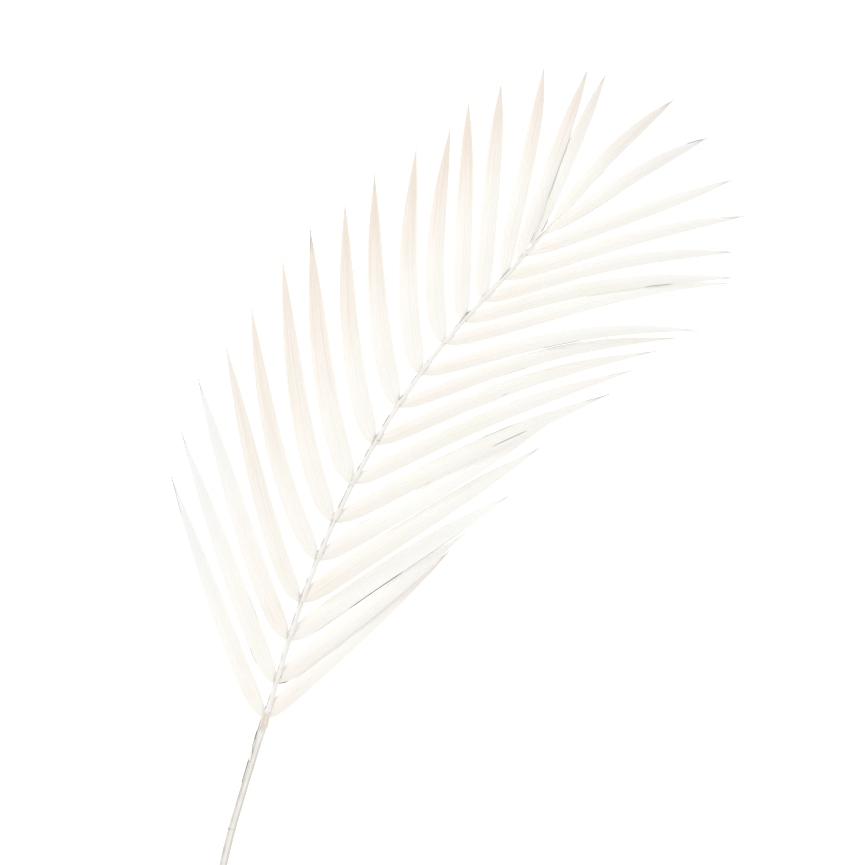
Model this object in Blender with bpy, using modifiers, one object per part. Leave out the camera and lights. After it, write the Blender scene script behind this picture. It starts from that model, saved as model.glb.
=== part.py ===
"""Dried pinnate palm frond, lying face up with its stem cut.

The petiole, the rachis and every leaflet grew as one piece, so they are one closed solid, "frond".
Metres, +Z up. +Y runs up the frond and +X to its right.
It rests on z = 0, on its cut end and on some of the leaflet tips.
"""
import math

import bmesh
import bpy
import numpy as np

MM = 0.001

# Stem: keys are plan distances along its axis from the lowest pair of leaflets, in millimetres
PETIOLE_LENGTH = 170 * MM
RACHIS_LENGTH = 462 * MM
STEM_LEAN_DEG = (
    (-170, 12.0), (-110, 13.4), (-85, 16.2), (-60, 16.8), (0, 17.0), (60, 17.0), (130, 22.0), (215, 28.5),
    (300, 36.0), (380, 43.5), (462, 40.0),
)
STEM_HEIGHT = ((-170, 3.3), (-90, 10.0), (0, 21.0), (110, 34.0), (230, 41.0), (350, 38.0), (462, 27.0))
STEM_RADIUS = (
    (-170, 3.3), (-90, 3.2), (-40, 3.0), (-24, 3.1), (-10, 3.4), (8, 2.7), (80, 2.4), (220, 2.3),
    (330, 2.2), (410, 2.0), (462, 1.1),
)
STEM_RING_GAP = 11 * MM

# Leaflets, from the lowest up. Each column holds one value for each leaflet:
# station: place of the root along the stem, mm         length: plan length from root to tip, mm
# lean: plan direction of the chord, degrees from +Y towards +X
# bow: how far the midrib stands off the chord, mm, positive to the left of the way it points
# peak: share of the length at which it stands off most
# width: widest plan width, mm
# rise: how far the middle stands above the line from root to tip, thousandths of the length
# tip: height of the tip above the floor, mm
LEFT = {
    "station": (0, 29, 65, 97, 133, 166, 200, 236, 271, 303, 334, 357, 380, 404, 422, 439),
    "length": (206, 214, 221, 217, 211, 215, 204, 195, 186, 182, 174, 176, 174, 172, 164, 149),
    "lean": (
        -21.2, -20.5, -19.0, -16.2, -14.4, -10.8, -9.2, -6.6, -5.3, -0.6, 2.1, 1.8, 5.2, 11.2, 20.2, 23.5,
    ),
    "bow": (3.2, 2.2, 4.8, 6.8, 9.6, 9.0, 7.8, 8.0, 7.0, 8.0, 8.8, 0.8, 0.0, -2.2, 0.0, 0.5),
    "peak": (0.30, 0.30, 0.32, 0.31, 0.43, 0.38, 0.39, 0.41, 0.43, 0.42, 0.38, 0.30, 0.50, 0.72, 0.50, 0.50),
    "width": (14, 15.5, 16.5, 15, 15.5, 16.5, 18, 16, 16.5, 16, 15.5, 14, 13.5, 12.8, 12, 11.5),
    "rise": (75, 75, 75, 75, 75, 75, 75, 75, 75, 75, 75, 75, 75, 75, 78, 80),
    "tip": (3, 0, 2, 5, 1, 4, 0, 3, 6, 2, 4, 0, 5, 3, 7, 3),
}
RIGHT = {
    "station": (0, 29, 65, 97, 133, 166, 200, 236, 271, 303, 334, 357, 380, 404, 429, 452, 462),
    "length": (198, 194, 212, 229, 230, 242, 242, 238, 233, 227, 237, 222, 206, 199, 177, 153, 139),
    "lean": (
        47.9, 51.6, 56.9, 57.2, 59.1, 65.2, 68.1, 71.9, 76.4, 81.3, 78.3, 81.0, 79.2, 75.5, 70.0, 59.6, 44.2,
    ),
    "bow": (0.0, 0.0, 3.0, 1.8, -1.0, 4.5, 7.3, 9.6, 11.5, 11.4, 8.5, 10.0, 9.0, 5.1, 0.8, 3.6, 5.6),
    "peak": (0.5, 0.5, 0.5, 0.4, 0.5, 0.56, 0.53, 0.55, 0.56, 0.57, 0.63, 0.53, 0.56, 0.6, 0.5, 0.62, 0.5),
    "width": (14.5, 15, 16.5, 16.5, 15.5, 15, 13.5, 12.5, 11.5, 11.5, 11.5, 11.5, 11.2, 11.6, 11.8, 12, 12.5),
    "rise": (66, 62, 27, 75, 66, 46, 70, 75, 80, 75, 75, 75, 75, 75, 75, 75, 75),
    "tip": (0, 1, 3, 1, 2, 5, 2, 0, 2, 5, 1, 4, 3, 0, 4, 2, 0),
}
ROOT_OFFSET = {"left": -1.6 * MM, "right": 0.3 * MM}

# Blade form shared by every leaflet
BLADE_THICKNESS = 0.8 * MM
BLADE_ROWS = 12
BLADE_COLUMNS = 2
ROOT_WIDTH_SHARE = 0.2  # width at the root as a share of the widest
LOW_FLARE = 0.035       # share of the length over which a low leaflet widens
TOP_FLARE = 0.13        # the same for the leaflets at the top of the frond
FLARE_STATIONS = (400, 462)  # stations between which the flare grows from low to top, mm
LOW_TAPER = {"left": 3.6, "right": 4.6}  # how late a low leaflet narrows: a power of the share of the length
TOP_TAPER = 6.0         # the same for the leaflets at the top of the frond
TAPER_STATIONS = (335, 375)
TIP_SHARPNESS = 1.15
TIP_WIDTH = 1.0 * MM
FOLD_DEG = 12           # slope of each half down from the midrib
ROOT_FOLD_DEG = 50      # the same at the root, where the blade closes
FOLD_OPENS = 0.05       # share of the length over which the fold opens


def profile(keys, place):
    """Value at a place on the smooth curve through (place, value) keys."""
    places, values = np.array(keys, dtype=float).T
    slopes = np.gradient(values, places)
    low = int(np.clip(np.searchsorted(places, place) - 1, 0, len(places) - 2))
    gap = places[low + 1] - places[low]
    t = np.clip((place - places[low]) / gap, 0.0, 1.0)
    start = (1 + 2 * t) * (1 - t) ** 2 * values[low] + t * (1 - t) ** 2 * gap * slopes[low]
    end = t * t * (3 - 2 * t) * values[low + 1] + t * t * (t - 1) * gap * slopes[low + 1]
    return float(start + end)


def stem_plan():
    """Places along the stem, one a millimetre, and their plan positions from the lowest pair of leaflets."""
    places = np.arange(-PETIOLE_LENGTH, RACHIS_LENGTH + MM / 2, MM)
    leans = np.radians([profile(STEM_LEAN_DEG, place / MM) for place in places])
    steps = MM * np.column_stack([np.sin(leans), np.cos(leans)])
    plan = np.cumsum(steps, axis=0)
    heel = plan[np.argmin(np.abs(places))]
    return places, plan - heel


STEM_PLACES, STEM_PLAN = stem_plan()


def stem_point(place):
    """Point on the stem's axis, measured from the lowest pair of leaflets."""
    x = np.interp(place, STEM_PLACES, STEM_PLAN[:, 0])
    y = np.interp(place, STEM_PLACES, STEM_PLAN[:, 1])
    return np.array([x, y, profile(STEM_HEIGHT, place / MM) * MM])


def leaflet_rows(side, columns):
    """One dictionary of sizes in metres and radians for each leaflet of a side."""
    rows = []
    for station, length, lean, bow, peak, width, rise, tip in zip(*columns.values()):
        station_lean = math.radians(profile(STEM_LEAN_DEG, station))
        across_stem = np.array([math.cos(station_lean), -math.sin(station_lean), 0.0])
        rows.append({
            "root": stem_point(station * MM) + ROOT_OFFSET[side] * across_stem,
            "length": length * MM,
            "lean": math.radians(lean),
            "bow": bow * MM,
            "bow_power": math.log(0.5) / math.log(peak),
            "width": width * MM,
            "rise": rise / 1000 * length * MM,
            "tip": tip * MM,
            "flare": float(np.interp(station, FLARE_STATIONS, (LOW_FLARE, TOP_FLARE))),
            "taper": float(np.interp(station, TAPER_STATIONS, (LOW_TAPER[side], TOP_TAPER))),
        })
    return rows


def midrib_point(leaflet, t):
    """Point on a leaflet's midrib, t from 0 at the root to 1 at the tip."""
    along = np.array([math.sin(leaflet["lean"]), math.cos(leaflet["lean"])])
    left = np.array([-along[1], along[0]])
    plan = leaflet["root"][:2] + leaflet["length"] * t * along
    plan = plan + leaflet["bow"] * math.sin(math.pi * t ** leaflet["bow_power"]) * left
    chord = leaflet["root"][2] * (1 - t) + (leaflet["tip"] + BLADE_THICKNESS / 2) * t
    rise = 4 * leaflet["rise"] * t * (1 - t)
    return np.array([plan[0], plan[1], chord + rise])


def blade_half_width(leaflet, t):
    """Half of a leaflet's plan width: quick to widen at the root, then a long taper to the tip."""
    flare = 1 - (1 - ROOT_WIDTH_SHARE) * math.exp(-t / leaflet["flare"])
    taper = (1 - t ** leaflet["taper"]) ** TIP_SHARPNESS
    return max(leaflet["width"] * flare * taper, TIP_WIDTH) / 2


def blade_point(leaflet, t, u):
    """Point on a leaflet's folded blade, u from -1 at its right edge to 1 at its left edge."""
    step = 0.004
    ahead = midrib_point(leaflet, min(t + step, 1.0)) - midrib_point(leaflet, max(t - step, 0.0))
    heading = math.atan2(ahead[1], ahead[0])
    left = np.array([-math.sin(heading), math.cos(heading), 0.0])
    half = blade_half_width(leaflet, t)
    fold = math.radians(FOLD_DEG + (ROOT_FOLD_DEG - FOLD_DEG) * math.exp(-t / FOLD_OPENS))
    drop = np.array([0.0, 0.0, half * abs(u) * math.tan(fold)])
    return midrib_point(leaflet, t) + u * half * left - drop


def frond_centre(leaflets):
    """Middle of the frond's plan box, which the cut end and the leaflet tips span."""
    reach = [midrib_point(leaflet, 1.0)[:2] for leaflet in leaflets]
    cut_lean = math.radians(profile(STEM_LEAN_DEG, -PETIOLE_LENGTH / MM))
    cut_radius = profile(STEM_RADIUS, -PETIOLE_LENGTH / MM) * MM
    cut_corner = stem_point(-PETIOLE_LENGTH)[:2] - cut_radius * np.array([0.0, math.sin(cut_lean)])
    reach.append(cut_corner)
    return (np.min(reach, axis=0) + np.max(reach, axis=0)) / 2


def new_material(name, colour, roughness):
    """Principled material of one colour."""
    material = bpy.data.materials.new(name)
    material.use_nodes = True
    shader = material.node_tree.nodes["Principled BSDF"]
    shader.inputs["Base Color"].default_value = (*colour, 1.0)
    shader.inputs["Roughness"].default_value = roughness
    shader.inputs["Metallic"].default_value = 0.0
    return material


def make_stem(name, centre, material, collection):
    """Petiole and rachis: one tapering round tube along the stem's axis, with welded end caps."""
    curve = bpy.data.curves.new(name, "CURVE")
    curve.dimensions = "3D"
    curve.bevel_depth = MM
    curve.bevel_resolution = 2
    curve.use_fill_caps = True
    count = 1 + round((PETIOLE_LENGTH + RACHIS_LENGTH) / STEM_RING_GAP)
    spline = curve.splines.new("POLY")
    spline.points.add(count - 1)
    for point, place in zip(spline.points, np.linspace(-PETIOLE_LENGTH, RACHIS_LENGTH, count)):
        x, y, z = stem_point(place)
        point.co = (x - centre[0], y - centre[1], z, 1.0)
        point.radius = profile(STEM_RADIUS, place / MM)
    tube = bpy.data.objects.new(name + "_tube", curve)
    collection.objects.link(tube)
    bpy.context.view_layer.update()

    mesh = bpy.data.meshes.new_from_object(tube.evaluated_get(bpy.context.evaluated_depsgraph_get()))
    stem = bpy.data.objects.new(name, mesh)
    stem.matrix_world = tube.matrix_world
    bpy.data.objects.remove(tube)
    collection.objects.link(stem)
    welded = bmesh.new()
    welded.from_mesh(mesh)
    bmesh.ops.remove_doubles(welded, verts=welded.verts, dist=0.01 * MM)
    welded.to_mesh(mesh)
    welded.free()
    mesh.materials.clear()
    mesh.materials.append(material)
    return stem


def make_leaflet(name, leaflet, centre, material, collection):
    """One leaflet: a flat grid laid along the midrib, folded, and given its thickness."""
    grid = bmesh.new()
    bmesh.ops.create_grid(grid, x_segments=BLADE_ROWS, y_segments=BLADE_COLUMNS, size=1.0)
    for vert in grid.verts:
        t = (1 - math.cos(math.pi * (vert.co.x + 1) / 2)) / 2
        x, y, z = blade_point(leaflet, t, vert.co.y)
        vert.co = (x - centre[0], y - centre[1], z)
    bmesh.ops.triangulate(grid, faces=grid.faces)
    mesh = bpy.data.meshes.new(name)
    grid.to_mesh(mesh)
    grid.free()
    mesh.materials.append(material)
    blade = bpy.data.objects.new(name, mesh)
    collection.objects.link(blade)
    solidify = blade.modifiers.new("Thickness", "SOLIDIFY")
    solidify.thickness = BLADE_THICKNESS
    solidify.offset = 0.0
    return blade


def fuse(stem, leaflets):
    """Join a collection of leaflets to the stem as one closed solid, and remove the leaflets."""
    union = stem.modifiers.new("Fuse leaflets", "BOOLEAN")
    union.operation = "UNION"
    union.operand_type = "COLLECTION"
    union.collection = leaflets
    bpy.context.view_layer.update()
    fused = bpy.data.meshes.new_from_object(stem.evaluated_get(bpy.context.evaluated_depsgraph_get()))
    stem.modifiers.remove(union)
    stem.data = fused
    for blade in list(leaflets.objects):
        bpy.data.objects.remove(blade)
    bpy.data.collections.remove(leaflets)


def set_down(frond):
    """Lower the frond until its lowest point rests on z = 0."""
    mesh = frond.data
    lowest = min(vert.co.z for vert in mesh.vertices)
    for vert in mesh.vertices:
        vert.co.z -= lowest


def main():
    for old in list(bpy.data.objects):
        bpy.data.objects.remove(old)
    parts = bpy.data.collections.new("palm_frond")
    blades = bpy.data.collections.new("leaflets")
    bpy.context.scene.collection.children.link(parts)
    bpy.context.scene.collection.children.link(blades)
    blade_material = new_material("dried_leaf", (0.92, 0.89, 0.83), 0.7)

    leaflets = leaflet_rows("left", LEFT) + leaflet_rows("right", RIGHT)
    centre = frond_centre(leaflets)
    frond = make_stem("frond", centre, blade_material, parts)
    for number, leaflet in enumerate(leaflets, start=1):
        make_leaflet(f"leaflet_{number:02d}", leaflet, centre, blade_material, blades)
    fuse(frond, blades)
    set_down(frond)


main()
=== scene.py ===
"""Looks of the dried palm frond: a veined blade for each leaflet, the grooved stem and its ragged sheath.

The placement rules and their values are those of the solids, so each piece lies where its part of
the node lies. Metres, +Z up, +Y up the frond.
"""
import math

import bmesh
import bpy
import numpy as np
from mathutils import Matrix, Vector


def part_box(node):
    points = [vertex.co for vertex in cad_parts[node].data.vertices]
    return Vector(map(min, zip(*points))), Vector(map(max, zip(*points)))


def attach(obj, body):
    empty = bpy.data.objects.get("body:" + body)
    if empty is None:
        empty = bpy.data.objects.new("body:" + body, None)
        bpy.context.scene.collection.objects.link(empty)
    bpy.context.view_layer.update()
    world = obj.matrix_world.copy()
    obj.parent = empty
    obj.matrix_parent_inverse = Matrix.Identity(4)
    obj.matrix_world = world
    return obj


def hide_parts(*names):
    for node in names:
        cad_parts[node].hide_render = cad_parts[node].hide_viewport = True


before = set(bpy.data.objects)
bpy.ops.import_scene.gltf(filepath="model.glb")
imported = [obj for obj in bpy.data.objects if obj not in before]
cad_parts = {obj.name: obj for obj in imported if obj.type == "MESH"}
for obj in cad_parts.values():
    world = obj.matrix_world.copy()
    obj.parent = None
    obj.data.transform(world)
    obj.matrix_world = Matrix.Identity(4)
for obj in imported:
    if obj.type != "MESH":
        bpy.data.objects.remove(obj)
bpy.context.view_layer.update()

MM = 0.001
RNG = np.random.default_rng(7)

# Stem: keys are plan distances along its axis from the lowest pair of leaflets, in millimetres
PETIOLE_LENGTH = 170 * MM
RACHIS_LENGTH = 462 * MM
STEM_LEAN_DEG = (
    (-170, 12.0), (-110, 13.4), (-85, 16.2), (-60, 16.8), (0, 17.0), (60, 17.0), (130, 22.0), (215, 28.5),
    (300, 36.0), (380, 43.5), (462, 40.0),
)
STEM_HEIGHT = ((-170, 3.3), (-90, 10.0), (0, 21.0), (110, 34.0), (230, 41.0), (350, 38.0), (462, 27.0))
STEM_RADIUS = (
    (-170, 3.3), (-90, 3.2), (-40, 3.0), (-24, 3.1), (-10, 3.4), (8, 2.7), (80, 2.4), (220, 2.3),
    (330, 2.2), (410, 2.0), (462, 1.1),
)

# Leaflets, from the lowest up. Each column holds one value for each leaflet:
# station: place of the root along the stem, mm         length: plan length from root to tip, mm
# lean: plan direction of the chord, degrees from +Y towards +X
# bow: how far the midrib stands off the chord, mm, positive to the left of the way it points
# peak: share of the length at which it stands off most
# width: widest plan width, mm
# rise: how far the middle stands above the line from root to tip, thousandths of the length
# tip: height of the tip above the floor, mm
# blush: how peach the outer part is, 0 to 1             onset: share of the length where the peach begins
# tan: how warm the shaded half is near the root; a warm root gets less painted light   dry: how grey the last stretch of the tip is
# stain: how strong the orange spot beside the root is   grey: how grey the outer part is
# pale: painted light that lifts a leaflet lying under a neighbour against the shade that falls on it
LEFT = {
    "station": (0, 29, 65, 97, 133, 166, 200, 236, 271, 303, 334, 357, 380, 404, 422, 439),
    "length": (206, 214, 221, 217, 211, 215, 204, 195, 186, 182, 174, 176, 174, 172, 164, 149),
    "lean": (
        -21.2, -20.5, -19.0, -16.2, -14.4, -10.8, -9.2, -6.6, -5.3, -0.6, 2.1, 1.8, 5.2, 11.2, 20.2, 23.5,
    ),
    "bow": (3.2, 2.2, 4.8, 6.8, 9.6, 9.0, 7.8, 8.0, 7.0, 8.0, 8.8, 0.8, 0.0, -2.2, 0.0, 0.5),
    "peak": (0.30, 0.30, 0.32, 0.31, 0.43, 0.38, 0.39, 0.41, 0.43, 0.42, 0.38, 0.30, 0.50, 0.72, 0.50, 0.50),
    "width": (14, 15.5, 16.5, 15, 15.5, 16.5, 18, 16, 16.5, 16, 15.5, 14, 13.5, 12.8, 12, 11.5),
    "rise": (75, 75, 75, 75, 75, 75, 75, 75, 75, 75, 75, 75, 75, 75, 78, 88),
    "tip": (3, 0, 2, 5, 1, 4, 0, 3, 6, 2, 4, 0, 5, 3, 7, 3),
    "blush": (0.0, 0.0, 0.05, 0.6, 0.75, 0.75, 0.85, 0.95, 0.95, 1.0, 1.0, 0.95, 0.85, 0.85, 0.8, 0.75),
    "onset": (0.9, 0.9, 0.6, 0.35, 0.38, 0.38, 0.4, 0.42, 0.48, 0.48, 0.48, 0.54, 0.56, 0.54, 0.54, 0.54),
    "tan": (0.1, 0.1, 0.25, 0.4, 0.3, 0.2, 0.2, 0.1, 0.1, 0.1, 0.1, 0.1, 0.1, 0.1, 0.1, 0.2),
    "dry": (0.6, 0.5, 0.5, 0.2, 0.2, 0.3, 0.8, 0.4, 0.7, 0.2, 0.3, 0.2, 0.4, 0.3, 0.6, 0.6),
    "stain": (0.5, 0.0, 0.9, 0.2, 0.0, 0.0, 0.0, 0.1, 0.0, 0.0, 0.1, 0.0, 0.0, 0.0, 0.0, 0.0),
    "grey": (1.0, 1.0, 1.0, 0.3, 0.25, 0.25, 0.2, 0.25, 0.2, 0.25, 0.25, 0.2, 0.2, 0.25, 0.3, 0.5),
    "pale": (0.0, 0.0, 0.0, 0.0, 0.0, 0.0, 0.0, 0.0, 0.0, 0.0, 0.0, 0.0, 0.0, 0.0, 0.0, 0.2),
}
RIGHT = {
    "station": (0, 29, 65, 97, 133, 166, 200, 236, 271, 303, 334, 357, 380, 404, 429, 452, 462),
    "length": (198, 194, 212, 229, 230, 242, 242, 238, 233, 227, 237, 222, 206, 199, 177, 153, 139),
    "lean": (
        47.9, 51.6, 56.9, 57.2, 59.1, 65.2, 68.1, 71.9, 76.4, 81.3, 78.3, 81.0, 79.2, 75.5, 70.0, 59.6, 44.2,
    ),
    "bow": (0.0, 0.0, 3.0, 1.8, -1.0, 4.5, 7.3, 9.6, 11.5, 11.4, 8.5, 10.0, 9.0, 5.1, 0.8, 3.6, 5.6),
    "peak": (0.5, 0.5, 0.5, 0.4, 0.5, 0.56, 0.53, 0.55, 0.56, 0.57, 0.63, 0.53, 0.56, 0.6, 0.5, 0.62, 0.5),
    "width": (14.5, 15, 16.5, 16.5, 15.5, 15, 13.5, 12.5, 11.5, 11.5, 11.5, 11.5, 11.2, 11.6, 11.8, 12, 12.5),
    "rise": (66, 62, 27, 75, 66, 46, 70, 75, 80, 75, 75, 75, 75, 75, 75, 75, 75),
    "tip": (0, 1, 3, 1, 2, 5, 2, 0, 2, 5, 1, 4, 3, 0, 4, 2, 0),
    "blush": (0.3, 0.05, 0.0, 0.0, 0.05, 0.05, 0.05, 0.05, 0.1, 0.05, 0.0, 0.05, 0.1, 0.1, 0.1, 0.45, 0.8),
    "onset": (0.4, 0.4, 0.5, 0.5, 0.5, 0.5, 0.5, 0.5, 0.5, 0.5, 0.5, 0.5, 0.5, 0.5, 0.5, 0.5, 0.5),
    "tan": (1.0, 0.9, 0.4, 0.9, 0.6, 0.6, 0.5, 0.9, 0.9, 0.8, 0.8, 0.6, 0.6, 0.5, 0.4, 0.3, 0.1),
    "dry": (0.5, 0.4, 0.5, 0.5, 0.8, 0.6, 0.4, 0.6, 0.6, 0.5, 0.4, 0.5, 0.6, 0.6, 0.6, 0.7, 0.7),
    "stain": (0.2, 0.0, 0.1, 0.6, 0.2, 0.3, 0.2, 0.4, 0.5, 0.4, 0.7, 0.2, 0.3, 0.3, 0.6, 0.2, 0.0),
    "grey": (0.0, 0.0, 0.0, 0.0, 0.0, 0.0, 0.0, 0.0, 0.1, 0.3, 0.1, 0.1, 0.2, 0.25, 0.2, 0.7, 0.5),
    "pale": (0.6, 0.5, 0.9, 0.0, 0.7, 0.2, 0.0, 0.0, 0.0, 0.0, 0.2, 0.0, 0.0, 0.0, 0.0, 0.0, 0.0),
}
# Dark lines: dried margins at some tips, and painted contact shadow where a leaflet's edge lies on or under a
# neighbour, some of it inside the blade. In each row: place across, -1 at the right edge and 1 at the left;
# start and end as shares of the length; darkness
DARK_MARGINS_AND_SHADOWS = {
    "leaflet_left_01": ((1, 0.82, 1.0, 0.6),),
    "leaflet_left_02": ((1, 0.08, 0.16, 0.55), (-1, 0.22, 0.34, 0.5), (1, 0.88, 1.0, 0.4)),
    "leaflet_left_03": ((1, 0.88, 1.0, 0.4),),
    "leaflet_left_07": ((1, 0.90, 1.0, 0.6),),
    "leaflet_left_15": ((-1, 0.28, 0.74, 0.5), (-1, 0.09, 0.16, 0.5)),
    "leaflet_left_16": ((-1, 0.07, 0.16, 0.8), (1, 0.84, 1.0, 0.3)),
    "leaflet_right_01": ((-1, 0.86, 1.0, 0.5), (1, 0.03, 0.10, 0.5)),
    "leaflet_right_02": ((-1, 0.0, 0.04, 1.0),),
    "leaflet_right_03": ((-1, 0.08, 0.26, 0.6), (-1, 0.16, 0.84, 0.5), (-1, 0.22, 0.52, 1.0)),
    "leaflet_right_04": ((1, 0.52, 0.92, 0.3), (1, 0.68, 0.80, 0.45)),
    "leaflet_right_05": ((1, 0.17, 0.22, 0.4), (-1, 0.92, 1.0, 0.4)),
    "leaflet_right_06": (
        (-1, 0.28, 0.34, 0.5), (-0.48, 0.57, 0.71, 0.7), (1, 0.54, 0.69, 0.6), (1, 0.90, 1.0, 0.5),
    ),
    "leaflet_right_07": ((1, 0.90, 1.0, 0.4),),
    "leaflet_right_08": ((-1, 0.37, 0.45, 0.35), (-0.7, 0.46, 0.48, 0.5)),
    "leaflet_right_09": ((1, 0.53, 0.66, 0.5), (-1, 0.37, 0.47, 0.5)),
    "leaflet_right_10": ((-1, 0.42, 0.58, 0.6),),
    "leaflet_right_11": ((1, 0.66, 0.80, 0.6), (1, 0.52, 0.56, 0.4)),
    "leaflet_right_12": ((-1, 0.66, 0.77, 0.7),),
    "leaflet_right_14": ((1, 0.90, 0.99, 0.5),),
    "leaflet_right_15": ((1, 0.90, 1.0, 0.3),),
    "leaflet_right_16": ((1, 0.87, 0.97, 0.8), (-1, 0.03, 0.50, 0.45)),
    "leaflet_right_17": ((-1, 0.84, 1.0, 0.35), (-1, 0.36, 0.42, 0.5)),
}
ROOT_OFFSET = {"left": -1.6 * MM, "right": 0.3 * MM}

# Blade form shared by every leaflet, as in the solids
SOLID_THICKNESS = 0.8 * MM
ROOT_WIDTH_SHARE = 0.2
LOW_FLARE = 0.035
TOP_FLARE = 0.13
FLARE_STATIONS = (400, 462)
LOW_TAPER = {"left": 3.6, "right": 4.6}
TOP_TAPER = 6.0
TAPER_STATIONS = (335, 375)
TIP_SHARPNESS = 1.15
FOLD_DEG = 12
ROOT_FOLD_DEG = 28
FOLD_OPENS = 0.05

# Fine form of a blade, added here
BLADE_ROWS = 88
BLADE_COLUMNS = 48
TIP_WIDTH = 0.7 * MM
LEAF_THICKNESS = 0.42 * MM
EDGE_THICKNESS = 0.26 * MM
ROOT_SWELL = 1.5 * MM        # extra thickness of the swollen joint at the root
ROOT_SWELL_REACH = 6 * MM
PLEATS = 3                   # in each half
PLEAT_DEPTH = 0.08 * MM
MIDRIB_RISE = 0.2 * MM
MIDRIB_KEEL = 0.45 * MM
MIDRIB_SPREAD = 0.075        # share of the half width
MIDRIB_FADE = 0.6            # how much lower it is at the tip
FULL_HALF = 6 * MM           # half width from which the pleats and the thickness are full
TWIST_DEG = 5.0
ROUNDING = 1.8               # power of the fall from the midrib to the edge: 1 is a sharp fold, 2 a round one
EDGE_LINE_WIDTH = 1.1 * MM        # how far the darkest line at an edge reaches in from it
SHADOW_LINE_WIDTH = 0.65 * MM     # how far a painted shadow line inside the blade reaches to either side
LINE_FADE = 0.18             # share of a dark line's length over which each end fades
LINE_THIN = 0.25             # share of its width that a faint dark line has
RIPPLE = 0.045               # height of the edge's waves as a share of the half width
RIPPLE_LENGTHS = (28 * MM, 55 * MM)
RIPPLE_LAG = 1.3             # radians by which the left edge's waves lead and the right edge's lag
LAYERS = 100.0               # depth of the noise, of which each leaflet shows a layer of its own

# Shares of a leaflet's length between which a mark or the edge's waves set in
RIPPLE_SPAN = (0.05, 0.3)
GREY_SPAN = (0.3, 0.85)
PALE_SPAN = (0.02, 0.4)
DRY_SPAN = (0.97, 0.99)
DRY_REACH = 0.1              # how much sooner the driest tip begins
BLUSH_SPAN = (-0.18, 0.32)   # before and after the leaflet's onset

# Fine form of the stem
STEM_ROWS = 300
STEM_SIDES = 56
STEM_STEPS = 400             # places at which the stem's direction is taken
CHANNEL_DEPTH = 0.3          # depth of the petiole's upper channel as a share of the radius
CHANNEL_ENDS = (-30, 10)     # stations between which the channel closes, mm
RIM_HEIGHT = 0.25            # height of the channel's rims as a share of its depth
RIM_ANGLE = 44               # degrees from the top, as are the spreads
RIM_SPREAD = 14
GUTTER_SPREAD = 30
KEEL_HEIGHT = 0.06           # share of the radius, as are the heights below
KEEL_SPREAD = 30
RACHIS_RIDGE = 0.05          # low ridge along the rachis, where the channel has closed
RACHIS_RIDGE_SPREAD = 26
RIBS = ((15, 0.012, 0.0), (23, 0.008, 1.0))  # two sets of fine ribs: number, height, starting angle
SCAR_STATION = -94           # a shallow ring round the petiole, mm
SCAR_DEPTH = 0.05
SCAR_LIP = (-1.0, 1.2)       # its lip and its groove: middle and spread, mm
SCAR_GROOVE = (0.8, 0.9)
KNOT_SPREAD = 3.5            # how far a node's colour reaches along the stem, mm
CUT_STEPS = (0.08, 0.45, 0.8, 0.95)  # radii of the rings on the cut face, as shares
CUT_ROUGHNESS = 0.25 * MM
TIP_SHARE = 0.3              # the last ring's share of the radius
TIP_LENGTH = 0.5 * MM
PATTERN_RADIUS = 3 * MM      # radius at which the stem's skin pattern is laid out

# Ragged sheath below the first pair of leaflets, and dark fibres in the leaflets' axils
SHEATH_STRIPS = 17
SHEATH_TOP = 3.0 * MM
SHEATH_LENGTHS = (9 * MM, 21 * MM)
SHEATH_WIDTHS = (0.7 * MM, 1.4 * MM)
SHEATH_LIFT = 0.9 * MM
SHEATH_LIFT_SHARES = (0.2, 1.0)
SHEATH_RAGGED = 1.5 * MM     # how far a strip's top strays along the stem
SHEATH_STRAY = 0.12          # how far a strip strays round the stem, radians
SHEATH_SWAYS = (-0.3, 0.3)   # change of its angle on the way down, radians
FIBRE_ROWS = 11
FIBRE_COLUMNS = 5
FIBRE_THICKNESS = 0.22 * MM
FIBRE_SEAT = 0.3             # height of a fibre's middle above the stem's surface, in thicknesses
FIBRE_CURL = 2.2             # power by which its far end rises
FIBRE_START = 1.15           # from more than its full width it narrows by the cube of the way
FIBRE_END = 0.12             # share of the width that its far end has
FIBRE_THINNING = 0.4         # how much thinner it is at its edges
AXIL_GAPS = (2.0, 7.0)       # how far above a leaflet's root its fibre begins, mm
AXIL_LENGTHS = (1.2 * MM, 2.6 * MM)
AXIL_WIDTHS = (0.4 * MM, 0.75 * MM)
AXIL_LIFT = 0.5 * MM
AXIL_ANGLES = {"left": 2.75, "right": 0.4}  # round the stem, radians
AXIL_STRAY = 0.35
AXIL_SHARE = 0.5             # share of the leaflets that have one

# Strips of the dark rolled margin beside the petiole and of the torn flake on the petiole's left side.
# In each row: start and end along the stem, mm; angle round it, radians; width and lift of the far end, mm;
# change of the angle on the way, radians; thickness, mm
MARGIN_STRIPS = (
    (-13, -56, 2.95, 1.1, 0.0, -0.15, 0.75),
    (-7, -25, 2.6, 0.77, 0.3, 0.2, 0.375),
)
FLAKE_STRIPS = (
    (-37, -24, 2.45, 2.6, 1.8, 0.15, 0.22),
    (-19, -33, 2.6, 1.6, 1.08, 0.1, 0.22),
)

# Photograph: where the lowest pair of leaflets springs, the size of a pixel, and the middle of the picture
HEEL_PIXEL = (265.9, 716.5)
PIXEL = 0.8 * MM
PICTURE_SIZE = 865
CAMERA_HEIGHT = 20.0
SENSOR = 36.0


def smooth(low, high, x):
    """0 below low, 1 above high and an S-curve between."""
    t = np.clip((x - low) / (high - low), 0.0, 1.0)
    return t * t * (3 - 2 * t)


def bell(x, spread):
    """1 at 0, falling off to either side over the spread."""
    return np.exp(-(x / spread) ** 2)


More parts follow.
